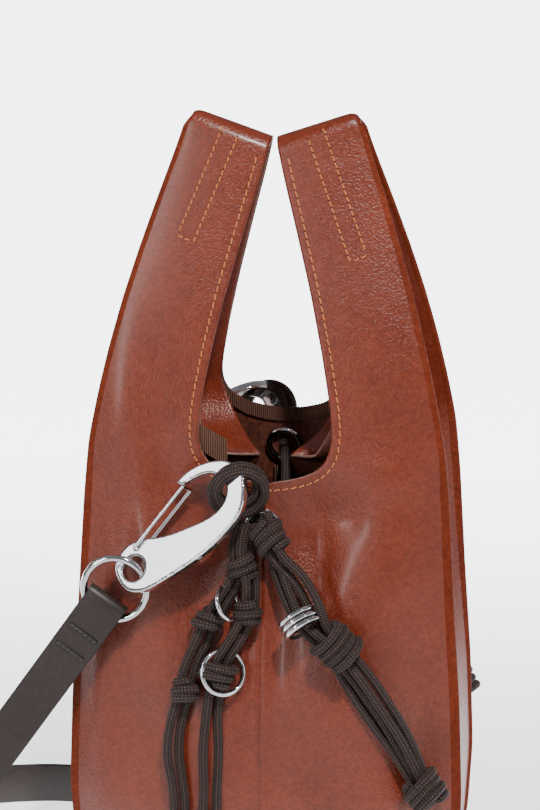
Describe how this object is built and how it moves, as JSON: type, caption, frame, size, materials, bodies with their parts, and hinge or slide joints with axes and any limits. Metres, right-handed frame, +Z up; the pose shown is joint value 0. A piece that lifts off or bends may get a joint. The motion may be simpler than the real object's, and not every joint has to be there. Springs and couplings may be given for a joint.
{
  "type": "leather tote bag",
  "caption": "Small soft leather tote cut like a vest, with looped handles, folded side gussets, knotted cord tassels, snap hooks and a clip-on shoulder strap.",
  "frame": {"origin": "centre of the base at floor level", "axes": "+Z up, -Y towards the front panel, +X towards the right handle"},
  "size_m": [0.3647, 0.1558, 0.4067],
  "materials": {
    "leather": "semi-gloss fine pebble grain, rust brown",
    "leather_inside": "matte dark flesh side",
    "reinforcement": "plain woven webbing",
    "board": "fibreboard",
    "ribbon": "ribbed grosgrain",
    "cord": "braided round cord",
    "strap_leather": "smooth matte, painted edges",
    "chrome": "polished"
  },
  "bodies": {
    "root": {"back_cord_1": "cord", "back_cord_2": "cord", "back_cord_3": "cord", "back_cord_4": "cord", "back_cord_loop": "cord", "back_grommet": "chrome", "back_grommet_washer": "chrome", "back_hook": "chrome", "back_left_end_knot": "cord", "back_right_end_knot": "cord", "back_right_knot": "cord", "back_seam_tape": "ribbon", "back_upper_knot": "cord", "base_board": "board", "base_panel": "leather", "coil_rings": "chrome", "front_cord_loop": "cord", "front_grommet": "chrome", "front_grommet_washer": "chrome", "front_hook": "chrome", "front_seam_tape": "ribbon", "inner_cord": "cord", "left_cord_1": "cord", "left_cord_2": "cord", "left_cord_3": "cord", "left_cord_4": "cord", "left_half": "leather", "left_inner_knot_1": "cord", "left_inner_knot_2": "cord", "left_inner_tail_knot": "cord", "left_outer_knot_1": "cord", "left_outer_knot_2": "cord", "left_outer_tail_knot": "cord", "left_upper_knot": "cord", "neck_ribbon": "ribbon", "right_cord_1": "cord", "right_cord_2": "cord", "right_cord_3": "cord", "right_cord_4": "cord", "right_end_knot": "cord", "right_half": "leather", "right_middle_knot": "cord", "right_upper_knot": "cord", "shoulder_strap": "strap_leather", "tassel_ring_large": "chrome", "tassel_ring_small": "chrome"},
    "left_handle": {"left_handle": "leather", "left_handle_core": "reinforcement", "left_handle_facing": "leather_inside"},
    "right_handle": {"right_handle": "leather", "right_handle_core": "reinforcement", "right_handle_facing": "leather_inside"},
    "front_gate": {"front_hook_gate": "chrome"},
    "back_gate": {"back_hook_gate": "chrome"},
    "front_ring": {"front_ring": "chrome"},
    "back_ring": {"back_ring": "chrome"}
  },
  "joints": [
    {"name": "left_handle_lean", "type": "hinge", "parent": "root", "child": "left_handle", "pos_m": [-0.0905, 0, 0.2302], "axis": [0, -1, 0], "range_deg": [0, 22]},
    {"name": "right_handle_lean", "type": "hinge", "parent": "root", "child": "right_handle", "pos_m": [0.0905, 0, 0.2302], "axis": [0, 1, 0], "range_deg": [0, 22]},
    {"name": "front_gate_open", "type": "hinge", "parent": "root", "child": "front_gate", "pos_m": [-0.06142, -0.05678, 0.18974], "axis": [0.3957, 0.788, -0.4716], "range_deg": [0, 24], "stiffness_Nm_per_rad": 0.03, "springref_deg": -17.19},
    {"name": "back_gate_open", "type": "hinge", "parent": "root", "child": "back_gate", "pos_m": [-0.06142, 0.05678, 0.20374], "axis": [-0.3957, 0.788, 0.4716], "range_deg": [0, 24], "stiffness_Nm_per_rad": 0.03, "springref_deg": -17.19},
    {"name": "front_ring_turn", "type": "hinge", "parent": "root", "child": "front_ring", "pos_m": [-0.0727, -0.062, 0.1698], "axis": [0, -1, 0], "continuous": true},
    {"name": "back_ring_turn", "type": "hinge", "parent": "root", "child": "back_ring", "pos_m": [-0.0727, 0.062, 0.1838], "axis": [0, 1, 0], "continuous": true}
  ]
}
